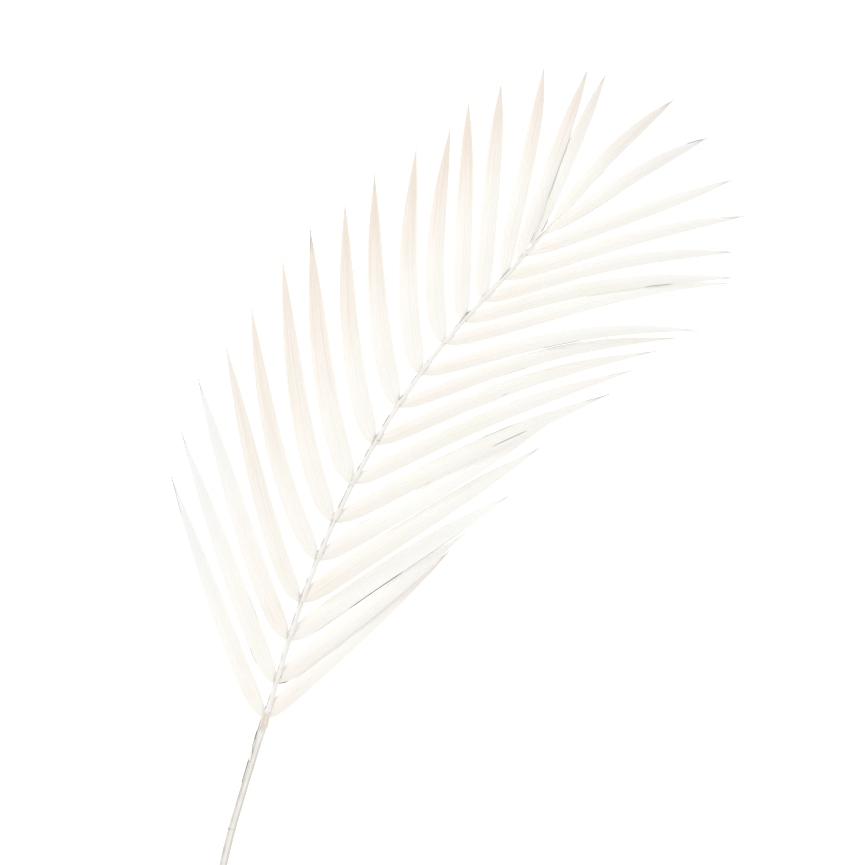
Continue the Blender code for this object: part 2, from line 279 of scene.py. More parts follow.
def profile(keys, place):
    """Values at places on the smooth curve through (place, value) keys."""
    places, values = np.array(keys, dtype=float).T
    slopes = np.gradient(values, places)
    place = np.asarray(place, dtype=float)
    low = np.clip(np.searchsorted(places, place) - 1, 0, len(places) - 2)
    gap = places[low + 1] - places[low]
    t = np.clip((place - places[low]) / gap, 0.0, 1.0)
    start = (1 + 2 * t) * (1 - t) ** 2 * values[low] + t * (1 - t) ** 2 * gap * slopes[low]
    end = t * t * (3 - 2 * t) * values[low + 1] + t * t * (t - 1) * gap * slopes[low + 1]
    return start + end


def stem_plan():
    """Places along the stem, one a millimetre, and their plan positions from the lowest pair of leaflets."""
    places = np.arange(-PETIOLE_LENGTH, RACHIS_LENGTH + MM / 2, MM)
    leans = np.radians(profile(STEM_LEAN_DEG, places / MM))
    steps = MM * np.column_stack([np.sin(leans), np.cos(leans)])
    plan = np.cumsum(steps, axis=0)
    heel = plan[np.argmin(np.abs(places))]
    return places, plan - heel


STEM_PLACES, STEM_PLAN = stem_plan()


def stem_points(place):
    """Points on the stem's axis, measured from the lowest pair of leaflets."""
    x = np.interp(place, STEM_PLACES, STEM_PLAN[:, 0])
    y = np.interp(place, STEM_PLACES, STEM_PLAN[:, 1])
    z = profile(STEM_HEIGHT, np.asarray(place) / MM) * MM
    return np.stack([x, y, z], axis=-1)


def leaflet_rows(side, columns):
    """One dictionary of sizes in metres and radians for each leaflet of a side."""
    rows = []
    for number, values in enumerate(zip(*columns.values()), start=1):
        row = dict(zip(columns, values))
        station_lean = math.radians(profile(STEM_LEAN_DEG, row["station"]))
        across_stem = np.array([math.cos(station_lean), -math.sin(station_lean), 0.0])
        row["name"] = f"leaflet_{side}_{number:02d}"
        row["root"] = stem_points(row["station"] * MM) + ROOT_OFFSET[side] * across_stem
        row["flare"] = np.interp(row["station"], FLARE_STATIONS, (LOW_FLARE, TOP_FLARE))
        row["taper"] = np.interp(row["station"], TAPER_STATIONS, (LOW_TAPER[side], TOP_TAPER))
        row["bow_power"] = math.log(0.5) / math.log(row["peak"])
        row["lean"] = math.radians(row["lean"])
        row["rise"] = row["rise"] / 1000 * row["length"]
        for size in ("length", "bow", "width", "rise", "tip"):
            row[size] = row[size] * MM
        rows.append(row)
    return rows


def midrib(leaflet, t):
    """Points on a leaflet's midrib, t from 0 at the root to 1 at the tip."""
    t = np.asarray(t, dtype=float)
    along = np.array([math.sin(leaflet["lean"]), math.cos(leaflet["lean"])])
    left = np.array([-along[1], along[0]])
    bow = leaflet["bow"] * np.sin(math.pi * t ** leaflet["bow_power"])
    plan = leaflet["root"][:2] + leaflet["length"] * t[:, None] * along + bow[:, None] * left
    chord = leaflet["root"][2] * (1 - t) + (leaflet["tip"] + SOLID_THICKNESS / 2) * t
    return np.column_stack([plan, chord + 4 * leaflet["rise"] * t * (1 - t)])


def half_widths(leaflet, t):
    """Half of a leaflet's plan width: quick to widen at the root, then a long taper to the tip."""
    flare = 1 - (1 - ROOT_WIDTH_SHARE) * np.exp(-t / leaflet["flare"])
    taper = np.clip(1 - t ** leaflet["taper"], 0.0, 1.0) ** TIP_SHARPNESS
    return np.maximum(leaflet["width"] * flare * taper, TIP_WIDTH) / 2


def frond_centre(leaflets):
    """Middle of the frond's plan box, which the cut end and the leaflet tips span."""
    reach = [midrib(leaflet, np.array([1.0]))[0, :2] for leaflet in leaflets]
    cut_lean = math.radians(profile(STEM_LEAN_DEG, -PETIOLE_LENGTH / MM))
    cut_radius = profile(STEM_RADIUS, -PETIOLE_LENGTH / MM) * MM
    reach.append(stem_points(-PETIOLE_LENGTH)[:2] - cut_radius * np.array([0.0, math.sin(cut_lean)]))
    return (np.min(reach, axis=0) + np.max(reach, axis=0)) / 2


def new_piece(name, points, faces, material, marks):
    """Smooth mesh object on the frond's body, in place of part of the node. Its marks become attributes."""
    mesh = bpy.data.meshes.new(name)
    mesh.from_pydata(points.reshape(-1, 3).tolist(), [], faces)
    turned = bmesh.new()
    turned.from_mesh(mesh)
    bmesh.ops.recalc_face_normals(turned, faces=turned.faces)
    turned.to_mesh(mesh)
    turned.free()
    for mark, values in marks.items():
        kind, field = ("FLOAT_VECTOR", "vector") if mark == "place" else ("FLOAT", "value")
        attribute = mesh.attributes.new(mark, kind, "POINT")
        attribute.data.foreach_set(field, values.astype("f").ravel())
    mesh.shade_smooth()
    mesh.materials.append(material)
    piece = bpy.data.objects.new(name, mesh)
    bpy.context.scene.collection.objects.link(piece)
    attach(piece, "root")
    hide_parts("frond")


def tube_faces(rings, sides):
    """Quads of a tube of rings, each with the same number of points."""
    index = np.arange(rings * sides).reshape(rings, sides)
    ahead = np.roll(index, -1, axis=1)
    quads = np.stack([index[:-1], ahead[:-1], ahead[1:], index[1:]], axis=-1)
    return quads.reshape(-1, 4).tolist()


def flat_caps(rings, sides):
    """Quads that close both ends of a tube whose rings run along a top side and back along an underside."""
    caps = []
    for start in (0, (rings - 1) * sides):
        for j in range(sides // 2 - 1):
            caps.append([start + j, start + j + 1, start + sides - 2 - j, start + sides - 1 - j])
    return caps


def blade_heights(leaflet, t, u, half, spine):
    """Heights of a blade's middle layer: folded along its midrib, twisted, pleated, and wavy at its edges."""
    twist_start, twist_end, ripple_start = RNG.uniform(-1.0, 1.0, 3)
    ripple_length = RNG.uniform(*RIPPLE_LENGTHS)
    fold = np.radians(FOLD_DEG + (ROOT_FOLD_DEG - FOLD_DEG) * np.exp(-t / FOLD_OPENS))
    drop = half[:, None] * (np.abs(u) ** ROUNDING)[None, :] * np.tan(fold)[:, None]
    twist = np.radians(TWIST_DEG * (twist_start * np.sin(math.pi * t) + twist_end * t * t))
    lift = half[:, None] * u[None, :] * np.tan(twist)[:, None]
    fullness = np.minimum(half / FULL_HALF, 1.0)
    pleat = PLEAT_DEPTH * fullness[:, None] * np.cos(2 * math.pi * PLEATS * np.abs(u))[None, :]
    phase = 2 * math.pi * (t * leaflet["length"] / ripple_length + ripple_start)
    waves = np.sin(phase[:, None] + RIPPLE_LAG * np.sign(u)[None, :])
    ripple = RIPPLE * half[:, None] * (u ** 4)[None, :] * waves * smooth(*RIPPLE_SPAN, t)[:, None]
    return spine[:, 2:3] - drop + lift + pleat + ripple


def blade_points(leaflet, t, u, half):
    """Points of a blade, a ring for each t: the upper side from right to left, then the underside back."""
    spine = midrib(leaflet, t)
    heading = np.gradient(spine[:, :2], axis=0)
    heading /= np.linalg.norm(heading, axis=1)[:, None]
    left = np.column_stack([-heading[:, 1], heading[:, 0], np.zeros(len(t))])
    height = blade_heights(leaflet, t, u, half, spine)

    along = t * leaflet["length"]
    fullness = np.minimum(half / FULL_HALF, 1.0)
    thick = EDGE_THICKNESS + (LEAF_THICKNESS - EDGE_THICKNESS) * (1 - u ** 6)[None, :] * fullness[:, None]
    swell = ROOT_SWELL * bell(along, ROOT_SWELL_REACH)[:, None] * (1 - u ** 2)[None, :]
    ridge = bell(u, MIDRIB_SPREAD)[None, :] * fullness[:, None] * (1 - MIDRIB_FADE * t)[:, None]
    top = height + thick / 2 + swell / 2 + MIDRIB_RISE * ridge
    under = height - thick / 2 - swell / 2 - MIDRIB_KEEL * ridge
    plan = spine[:, None, :] + half[:, None, None] * u[None, :, None] * left[:, None, :]
    upper = np.concatenate([plan[..., :2], top[..., None]], axis=-1)
    lower = np.concatenate([plan[..., :2], under[..., None]], axis=-1)[:, ::-1]
    return np.concatenate([upper, lower], axis=1)


def margin_and_shadow_mark(leaflet, across, length_share, half):
    """How dark a leaflet's dried margins and painted contact shadows are at each of its points."""
    margin_and_shadow = 0 * length_share
    for edge, low, high, darkness in DARK_MARGINS_AND_SHADOWS.get(leaflet["name"], ()):
        fade = LINE_FADE * (high - low)
        reach = darkness * smooth(low, low + fade, length_share)
        if high < 1.0:
            reach = reach * smooth(high, high - fade, length_share)
        inside = half[:, None] * np.abs(across - edge)
        width = (EDGE_LINE_WIDTH if abs(edge) == 1 else SHADOW_LINE_WIDTH) * (LINE_THIN + (1 - LINE_THIN) * reach)
        margin_and_shadow = np.maximum(margin_and_shadow, reach * smooth(0.0, 0.5, (width - inside) / width))
    return margin_and_shadow


def leaflet_marks(leaflet, t, u, half, layer):
    """Marks of a leaflet's points, from which its material takes the colours."""
    across = np.broadcast_to(np.concatenate([u, u[::-1]]), (len(t), 2 * len(u)))
    length_share = np.broadcast_to(t[:, None], across.shape)
    blush_from, blush_to = (leaflet["onset"] + step for step in BLUSH_SPAN)
    dry_from, dry_to = DRY_SPAN[0] - DRY_REACH * leaflet["dry"], DRY_SPAN[1]
    place = (across * half.max(), length_share * leaflet["length"], 0 * across + layer)
    return {
        "place": np.stack(place, axis=-1),
        "across": across,
        "along": length_share,
        "blush": leaflet["blush"] * smooth(blush_from, blush_to, length_share),
        "tan": leaflet["tan"] + 0 * across,
        "dry": leaflet["dry"] * smooth(dry_from, dry_to, length_share),
        "margin_and_shadow": margin_and_shadow_mark(leaflet, across, length_share, half),
        "stain": leaflet["stain"] + 0 * across,
        "grey": leaflet["grey"] * smooth(*GREY_SPAN, length_share),
        "pale": leaflet["pale"] * smooth(*PALE_SPAN, length_share),
    }


def make_leaflet(leaflet, offset, material):
    """One leaflet: a pleated, arched blade with a midrib and a swollen joint at its root."""
    layer = RNG.uniform(0.0, LAYERS)
    t = (1 - np.cos(np.linspace(0.0, math.pi, BLADE_ROWS + 1))) / 2
    u = np.linspace(-1.0, 1.0, BLADE_COLUMNS + 1)
    half = half_widths(leaflet, t)
    points = blade_points(leaflet, t, u, half) + offset
    rings, sides = points.shape[:2]
    faces = tube_faces(rings, sides) + flat_caps(rings, sides)
    new_piece(leaflet["name"], points, faces, material, leaflet_marks(leaflet, t, u, half, layer))


def stem_ring(place, angle):
    """Radius of the stem at a place and an angle round its axis, from its right over its top."""
    radius = profile(STEM_RADIUS, place / MM) * MM
    from_top = np.degrees(np.abs((angle - math.pi / 2 + math.pi) % (2 * math.pi) - math.pi))
    channel = CHANNEL_DEPTH * (1 - smooth(*CHANNEL_ENDS, place / MM))
    rims = bell(from_top - RIM_ANGLE, RIM_SPREAD)
    gutter = bell(from_top, GUTTER_SPREAD)
    keel = KEEL_HEIGHT * bell(180 - from_top, KEEL_SPREAD)
    ribs = sum(height * np.cos(number * angle + start) for number, height, start in RIBS)
    ridge = RACHIS_RIDGE * smooth(*CHANNEL_ENDS, place / MM) * bell(from_top, RACHIS_RIDGE_SPREAD)
    from_scar = place / MM - SCAR_STATION
    lip, groove = (bell(from_scar - middle, spread) for middle, spread in (SCAR_LIP, SCAR_GROOVE))
    scar = SCAR_DEPTH * (lip - groove)
    shape = 1 - channel * gutter + RIM_HEIGHT * channel * rims + keel + ribs + ridge + scar
    return radius * shape


def stem_frame(place):
    """The stem's axis points, its forward, right and up directions at places along it."""
    steps = np.linspace(-PETIOLE_LENGTH, RACHIS_LENGTH, STEM_STEPS)
    ahead = np.gradient(stem_points(steps), axis=0)
    forward = np.column_stack([np.interp(place, steps, ahead[:, k]) for k in range(3)])
    forward /= np.linalg.norm(forward, axis=1)[:, None]
    right = np.cross(forward, [0.0, 0.0, 1.0])
    right /= np.linalg.norm(right, axis=1)[:, None]
    return stem_points(np.minimum(place, RACHIS_LENGTH)), forward, right, np.cross(right, forward)


def make_stem(offset, material):
    """Petiole and rachis: a channelled, finely ribbed stalk with a cut lower end."""
    place = np.linspace(-PETIOLE_LENGTH, RACHIS_LENGTH, STEM_ROWS + 1)
    shrink = np.ones_like(place)
    place = np.concatenate([np.full(len(CUT_STEPS), place[0]), place, [place[-1] + TIP_LENGTH]])
    shrink = np.concatenate([CUT_STEPS, shrink, [TIP_SHARE]])
    axis, tangent, right, up = stem_frame(place)
    angle = np.linspace(0.0, 2 * math.pi, STEM_SIDES, endpoint=False)
    radius = stem_ring(place[:, None], angle[None, :]) * shrink[:, None]
    points = axis[:, None] + radius[..., None] * (
        np.cos(angle)[None, :, None] * right[:, None] + np.sin(angle)[None, :, None] * up[:, None]
    )
    pits = CUT_ROUGHNESS * RNG.uniform(-1.0, 1.0, (2, STEM_SIDES))
    points[1:3] += pits[..., None] * tangent[1:3, None]
    points = points + offset

    turn = np.broadcast_to(angle, points.shape[:2])
    station = np.broadcast_to(place[:, None], points.shape[:2])
    spot = np.stack([turn * PATTERN_RADIUS, station, 0 * turn], axis=-1)
    cut = np.broadcast_to((shrink < 1)[:, None] * 1.0, points.shape[:2])
    nearest = np.min(np.abs(station[..., None] / MM - np.array(LEFT["station"] + RIGHT["station"])), axis=-1)
    marks = {
        "place": spot,
        "turn": turn,
        "station": station,
        "cut": cut,
        "knot": bell(nearest, KNOT_SPREAD),
    }
    rings, sides = points.shape[:2]
    ends = [list(range(sides)), list(range((rings - 1) * sides, rings * sides))]
    new_piece("stem", points, tube_faces(rings, sides) + ends, material, marks)


def fibre(start, end, angle, width, lift, sway, thickness=FIBRE_THICKNESS):
    """Points of a torn strip that lies along the stem from start to end, its far end raised and pointed."""
    t = np.linspace(0.0, 1.0, FIBRE_ROWS)
    place = start + (end - start) * t
    axis, forward, right, up = stem_frame(place)
    turn = angle + sway * t * t
    outward = np.cos(turn)[:, None] * right + np.sin(turn)[:, None] * up
    around = np.cross(forward, outward)
    raised = stem_ring(place, turn) + thickness * FIBRE_SEAT + lift * t ** FIBRE_CURL
    half = width / 2 * np.clip(FIBRE_START - t ** 3, FIBRE_END, 1.0)
    u = np.linspace(-1.0, 1.0, FIBRE_COLUMNS)
    middle = axis + raised[:, None] * outward
    flat = middle[:, None] + half[:, None, None] * u[None, :, None] * around[:, None]
    thick = thickness / 2 * (1 - FIBRE_THINNING * u ** 2)[None, :, None] * outward[:, None]
    return np.concatenate([flat + thick, (flat - thick)[:, ::-1]], axis=1)


def strips_from(rows):
    """Strips from rows of values in millimetres and radians."""
    return [
        fibre(start * MM, end * MM, angle, width * MM, lift * MM, sway, thickness * MM)
        for start, end, angle, width, lift, sway, thickness in rows
    ]


def join_strips(name, strips, offset, material):
    """One piece from strips that each have the same number of rings and sides."""
    points = np.array(strips) + offset
    count, rings, sides = points.shape[:3]
    pattern = np.array(tube_faces(rings, sides) + flat_caps(rings, sides))
    faces = (pattern[None] + (np.arange(count) * rings * sides)[:, None, None]).reshape(-1, 4).tolist()
    u = np.linspace(-1.0, 1.0, sides // 2)
    across = np.broadcast_to(np.concatenate([u, u[::-1]]), points.shape[:3])
    tone = np.broadcast_to(RNG.uniform(0.0, 1.0, count)[:, None, None], points.shape[:3])
    marks = {"place": points, "across": across, "tone": tone}
    new_piece(name, points, faces, material, marks)


def make_sheath(offset, material):
    """Ragged remains of the leaf sheath round the stem below the first pair of leaflets."""
    strips = []
    for turn in np.linspace(0.0, 2 * math.pi, SHEATH_STRIPS, endpoint=False):
        top = SHEATH_TOP + RNG.uniform(-SHEATH_RAGGED, SHEATH_RAGGED)
        angle = turn + RNG.uniform(-SHEATH_STRAY, SHEATH_STRAY)
        lift = SHEATH_LIFT * RNG.uniform(*SHEATH_LIFT_SHARES)
        width = RNG.uniform(*SHEATH_WIDTHS)
        bottom = top - RNG.uniform(*SHEATH_LENGTHS)
        strips.append(fibre(top, bottom, angle, width, lift, RNG.uniform(*SHEATH_SWAYS)))
    join_strips("sheath", strips, offset, material)


def make_margin(offset, material):
    """Dark rolled margin of the sheath, which runs down beside the petiole's left edge."""
    join_strips("sheath_margin", strips_from(MARGIN_STRIPS), offset, material)


def make_axil_fibres(offset, material):
    """Short dark fibres left on the stem just above each leaflet's root."""
    strips = []
    for side, columns in (("left", LEFT), ("right", RIGHT)):
        for station in columns["station"][:-1]:
            start = (station + RNG.uniform(*AXIL_GAPS)) * MM
            end = start + RNG.uniform(*AXIL_LENGTHS)
            angle = AXIL_ANGLES[side] + RNG.uniform(-AXIL_STRAY, AXIL_STRAY)
            width = RNG.uniform(*AXIL_WIDTHS)
            if RNG.random() < AXIL_SHARE:
                strips.append(fibre(start, end, angle, width, AXIL_LIFT, 0.0))
    join_strips("axil_fibres", strips, offset, material)


def make_flake(offset, material):
    """The torn flake that stands off the petiole's left side."""
    join_strips("petiole_flake", strips_from(FLAKE_STRIPS), offset, material)


# How light spreads in the skin: the reach of red, green and blue as shares of a depth
LIGHT_SPREAD = (1.0, 0.95, 0.9)
LIGHT_DEPTH = 2.5 * MM


class Shader:
    """Node material with short calls for the nodes that a plant's skin needs."""

    def __init__(self, name):
        self.material = bpy.data.materials.new(name)
        self.material.use_nodes = True
        self.tree = self.material.node_tree
        self.skin = self.tree.nodes["Principled BSDF"]

    def let_light_in(self, weight):
        """Lets a share of the light into the skin, where it spreads a few millimetres."""
        self.skin.inputs["Subsurface Weight"].default_value = weight
        self.skin.inputs["Subsurface Radius"].default_value = LIGHT_SPREAD
        self.skin.inputs["Subsurface Scale"].default_value = LIGHT_DEPTH

    def node(self, kind, inputs=None, **settings):
        """New node of a kind with its settings and its inputs, each a value or another node's output."""
        made = self.tree.nodes.new(kind)
        for name, value in settings.items():
            setattr(made, name, value)
        for socket, value in (inputs or {}).items():
            if isinstance(value, bpy.types.NodeSocket):
                self.tree.links.new(value, made.inputs[socket])
            else:
                made.inputs[socket].default_value = value
        return made

    def mark(self, name):
        """Output of one of the mesh's own marks."""
        made = self.node("ShaderNodeAttribute", attribute_name=name)
        return made.outputs["Vector"] if name == "place" else made.outputs["Fac"]

    def sum(self, operation, first, second=0.0):
        """Result of one sum on two values."""
        return self.node("ShaderNodeMath", {0: first, 1: second}, operation=operation).outputs[0]

    def times(self, first, second):
        """Product of two values."""
        return self.sum("MULTIPLY", first, second)

    def ramp(self, value, low, high, bottom, top):
        """Smooth step of a value from bottom at low to top at high."""
        made = self.node(
            "ShaderNodeMapRange",
            {"Value": value, "From Min": low, "From Max": high, "To Min": bottom, "To Max": top},
            interpolation_type="SMOOTHSTEP",
        )
        return made.outputs["Result"]

    def streaks(self, across, along, detail=2.0, roughness=0.5):
        """Noise drawn out along the piece: cycles a metre across and along it."""
        drawn = self.node(
            "ShaderNodeVectorMath", {0: self.mark("place"), 1: (across, along, 1.0)}, operation="MULTIPLY"
        )
        made = self.node(
            "ShaderNodeTexNoise",
            {"Vector": drawn.outputs[0], "Scale": 1.0, "Detail": detail, "Roughness": roughness},
        )
        return made.outputs["Fac"]

    def mix(self, amount, first, second):
        """Colour between two, by an amount."""
        made = self.node("ShaderNodeMix", data_type="RGBA")
        for socket, value in ((made.inputs[0], amount), (made.inputs[6], first), (made.inputs[7], second)):
            if isinstance(value, bpy.types.NodeSocket):
                self.tree.links.new(value, socket)
            elif isinstance(value, tuple):
                socket.default_value = (*value, 1.0)
            else:
                socket.default_value = value
        return made.outputs[2]

    def finish(self, colour, roughness, height, distance):
        """Joins colour, roughness and a bump height to the skin, and returns the material."""
        bump = self.node("ShaderNodeBump", {"Strength": 1.0, "Distance": distance, "Height": height})
        self.tree.links.new(colour, self.skin.inputs["Base Color"])
        self.tree.links.new(roughness, self.skin.inputs["Roughness"])
        self.tree.links.new(bump.outputs["Normal"], self.skin.inputs["Normal"])
        return self.material


# Leaf colours, linear
IVORY = (0.890, 0.872, 0.818)
# the cream below is painted shade, for the right half of a leaflet that the light reaches less
SHADED_CREAM = (0.882, 0.858, 0.798)
PALE = (0.892, 0.882, 0.846)
PEACH = (0.790, 0.675, 0.570)
RUST = (0.700, 0.560, 0.450)
WARM = (0.850, 0.768, 0.690)
AMBER = (0.865, 0.690, 0.520)
OLIVE = (0.850, 0.850, 0.730)
DUST = (0.790, 0.790, 0.778)
# white of the painted light on shaded roots and on leaflets under a neighbour
PAINTED_LIGHT_WHITE = (0.950, 0.950, 0.920)
ROSE = (0.895, 0.845, 0.800)
ASH = (0.460, 0.425, 0.380)
# dark of the dried margins and of the painted contact shadows
MARGIN_AND_SHADOW_DARK = (0.100, 0.090, 0.080)

# Leaf noises: cycles a metre across and along, detail, roughness
BROAD_STREAKS = (220.0, 8.0)
VEINS = (560.0, 13.0, 1.0)
FINE_LINES = (1500.0, 22.0, 3.0, 0.6)
HAIRLINES = (4200.0, 60.0)
CLOUDS = (45.0, 16.0)

# Leaf ramps: two values of a mark or a noise, then the strength at each
# the shaded half's cream is painted shade on the right half of each leaflet
SHADED_HALF = (0.5, -0.9, 0.0, 0.8)
OUTER_PART = (0.3, 0.75, 0.0, 0.8)
OLIVE_CLOUD = (0.54, 0.72, 0.0, 0.45)
ROSE_CLOUD = (0.46, 0.3, 0.0, 0.55)
WARM_PART = (0.5, 0.02, 0.0, 1.0)
WARM_HALF = (0.6, -0.5, 0.6, 1.0)
# painted light at the root, strongest on the right half and on roots that are not warm
PAINTED_LIGHT_PART = (0.2, 0.05, 0.0, 1.0)
PAINTED_LIGHT_HALF = (0.5, -0.5, 0.1, 1.0)
PAINTED_LIGHT_BY_TAN = (0.0, 0.8, 0.42, 0.1)
SPOT_START = (0.03, 0.09, 0.0, 1.0)
SPOT_END = (0.19, 0.1, 0.0, 1.0)
SPOT_VEINS = (0.4, 0.62, 0.0, 0.5)
BLUSH_VEINS = (0.3, 0.6, 0.65, 1.0)
RUST_VEINS = (0.54, 0.64, 0.0, 0.4)
RUST_ENDING = (0.66, 0.88, 0.0, 0.6)
WARM_HAIRLINES = (0.5, 0.72, 0.0, 0.08)
# painted highlight: ivory towards both edges of a leaflet
PAINTED_EDGE_HIGHLIGHT = (0.72, 0.97, 0.0, 0.5)
ROOT_JOINT = (0.025, 0.0, 0.0, 0.08)
LEAF_ROUGHNESS = (0.2, 0.8, 0.5, 0.72)

STREAK_SWAY = 1.4            # how far the broad streaks shift the shaded half's border, in half widths
WARMTH = 0.5                 # strength of the warm root
LEAF_GRAIN = 0.035 * MM      # depth of the fine lines
LEAF_HAIR = 0.4              # depth of the hairlines as a share of it
LEAF_TRANSLUCENCE = 0.2      # share of the light that enters the skin


def ground_colour(shader, across, along):
    """Painted shade: ivory on the lit left half, cream on the shaded right half. Paler further out, partly
    painted light, with olive and rose clouds, and painted light on leaflets under a neighbour.
    """
    broad, cloud = shader.streaks(*BROAD_STREAKS), shader.streaks(*CLOUDS)
    sway = shader.times(shader.sum("SUBTRACT", broad, 0.5), STREAK_SWAY)
    # painted shade: cream towards the right half, ivory on the lit left half
    colour = shader.mix(shader.ramp(shader.sum("ADD", across, sway), *SHADED_HALF), IVORY, SHADED_CREAM)
    # paler further out: partly the leaf's own colour, partly painted light against the shade of overlapping
    # leaflets
    colour = shader.mix(shader.ramp(along, *OUTER_PART), colour, PALE)
    colour = shader.mix(shader.ramp(cloud, *OLIVE_CLOUD), colour, OLIVE)
    colour = shader.mix(shader.ramp(cloud, *ROSE_CLOUD), colour, ROSE)
    # painted light: leaflets lying under a neighbour are lifted towards white by their pale mark
    return shader.mix(shader.mark("pale"), colour, PAINTED_LIGHT_WHITE)


def root_colour(shader, colour, across, along, vein):
    """Warm where the leaflet springs, with painted light on the shaded right half there, and an amber spot
    beside some roots.
    """
    warm = shader.times(shader.ramp(along, *WARM_PART), shader.ramp(across, *WARM_HALF))
    warm = shader.times(warm, shader.mark("tan"))
    colour = shader.mix(shader.times(warm, WARMTH), colour, WARM)
    # painted light that lifts the shade at the root's right half
    painted_light = shader.times(shader.ramp(along, *PAINTED_LIGHT_PART), shader.ramp(across, *PAINTED_LIGHT_HALF))
    painted_light = shader.times(painted_light, shader.ramp(shader.mark("tan"), *PAINTED_LIGHT_BY_TAN))
    colour = shader.mix(painted_light, colour, PAINTED_LIGHT_WHITE)
    spot = shader.times(shader.ramp(along, *SPOT_START), shader.ramp(along, *SPOT_END))
    spot = shader.times(spot, shader.ramp(vein, *SPOT_VEINS))
    return shader.mix(shader.times(spot, shader.mark("stain")), colour, AMBER)


def outer_colour(shader, colour, along, vein):
    """Peach outer part with rusty veins and a rusty ending, or a grey outer part."""
    blush = shader.mark("blush")
    colour = shader.mix(shader.times(blush, shader.ramp(vein, *BLUSH_VEINS)), colour, PEACH)
    colour = shader.mix(shader.times(blush, shader.ramp(vein, *RUST_VEINS)), colour, RUST)
    colour = shader.mix(shader.times(blush, shader.ramp(along, *RUST_ENDING)), colour, RUST)
    return shader.mix(shader.mark("grey"), colour, DUST)


def leaf_material():
    """Bleached leaf skin: cream with fine lengthwise lines, peach outer parts, warm roots and grey tips, with
    painted shade, painted light, painted edge highlights and painted contact shadows.
    """
    shader = Shader("dried_leaf_skin")
    shader.let_light_in(LEAF_TRANSLUCENCE)
    across, along = shader.mark("across"), shader.mark("along")
    vein, fine, hair = (shader.streaks(*noise) for noise in (VEINS, FINE_LINES, HAIRLINES))
    colour = ground_colour(shader, across, along)
    colour = root_colour(shader, colour, across, along, vein)
    colour = outer_colour(shader, colour, along, vein)
    colour = shader.mix(shader.ramp(hair, *WARM_HAIRLINES), colour, WARM)
    # painted highlight: ivory towards both edges of the blade
    colour = shader.mix(shader.ramp(shader.sum("ABSOLUTE", across), *PAINTED_EDGE_HIGHLIGHT), colour, IVORY)
    colour = shader.mix(shader.ramp(along, *ROOT_JOINT), colour, AMBER)
    colour = shader.mix(shader.mark("dry"), colour, ASH)
    # dried margins, and painted contact shadow where the leaflet meets a neighbour
    colour = shader.mix(shader.mark("margin_and_shadow"), colour, MARGIN_AND_SHADOW_DARK)
    height = shader.sum("ADD", fine, shader.times(hair, LEAF_HAIR))
    return shader.finish(colour, shader.ramp(fine, *LEAF_ROUGHNESS), height, LEAF_GRAIN)


# Stem colours, linear
STALK = (0.920, 0.900, 0.865)
STALK_GREY = (0.880, 0.868, 0.835)
STALK_OLIVE = (0.840, 0.820, 0.750)
# dark of the flecks, hairlines, scar and fibres, and of the painted shade along the stalk's flanks
STALK_DARK = (0.360, 0.350, 0.310)
KNOT = (0.820, 0.760, 0.600)
PITH = (0.800, 0.720, 0.580)

# Stem noises, as for the leaf
STALK_LINES = (1300.0, 25.0, 3.0, 0.6)
STALK_HAIRLINES = (3600.0, 70.0)
STALK_CLOUDS = (160.0, 90.0)
FLECKS = (500.0, 350.0)
BREAKS = (30.0, 95.0, 3.0)
UNEVENNESS = (30.0, 60.0, 3.0)

# Stem ramps over its noises, as for the leaf
GREY_CLOUD = (0.35, 0.65, 0.0, 1.0)
OLIVE_SKIN = (0.3, 0.7, 0.5, 0.9)
DARK_FLECK = (0.58, 0.66, 0.0, 0.6)
BROKEN_LINE = (0.44, 0.6, 0.06, 0.68)
UNEVEN_LINE = (0.4, 0.6, 0.35, 0.6)
DARK_HAIRLINES = (0.5, 0.75, 0.0, 0.14)
STALK_ROUGHNESS = (0.2, 0.8, 0.5, 0.75)

# Stem ramps over places along it, in metres, and over angles round it, in radians
PETIOLE_PART = (0.0, -30 * MM, 0.0, 1.0)
BROKEN_PART = (60 * MM, 220 * MM, 0.7, 1.0)
# angles round the stalk of the painted shade lines on its left and right flanks
LEFT_SHADE_SIDE = ((1.85, 2.2, 0.0, 1.0), (4.0, 3.6, 0.0, 1.0))
RIGHT_SHADE_SIDE = ((1.25, 0.9, 0.0, 1.0), (5.5, 5.9, 0.0, 1.0))
SCAR_RING = (1.3 * MM, 0.4 * MM, 0.0, 1.0)
SCAR_SIDE = (1.9, 2.5, 0.15, 0.9)

KNOT_STRENGTH = 0.25
RIGHT_SHADE_STRENGTH = 0.42
STALK_GRAIN = 0.15 * MM      # depth of the fine lines
STALK_HAIR = 0.5             # depth of the hairlines as a share of it
STALK_TRANSLUCENCE = 0.12    # share of the light that enters the skin


def painted_shade_lines(shader, colour, turn, station, petiole):
    """Painted shade: a dark line along each flank of the petiole. The left one goes on along the rachis,
    broken.
    """
    broken = shader.ramp(shader.streaks(*BREAKS), *BROKEN_LINE)
    broken = shader.times(broken, shader.ramp(station, *BROKEN_PART))
    uneven = shader.ramp(shader.streaks(*UNEVENNESS), *UNEVEN_LINE)
    strength = shader.sum("MAXIMUM", broken, shader.times(petiole, uneven))
    left_shade = shader.times(*(shader.ramp(turn, *side) for side in LEFT_SHADE_SIDE))
    colour = shader.mix(shader.times(left_shade, strength), colour, STALK_DARK)
    right_shade = shader.sum("MAXIMUM", *(shader.ramp(turn, *side) for side in RIGHT_SHADE_SIDE))
    right_shade_line = shader.times(right_shade, shader.times(petiole, RIGHT_SHADE_STRENGTH))
    return shader.mix(right_shade_line, colour, STALK_DARK)


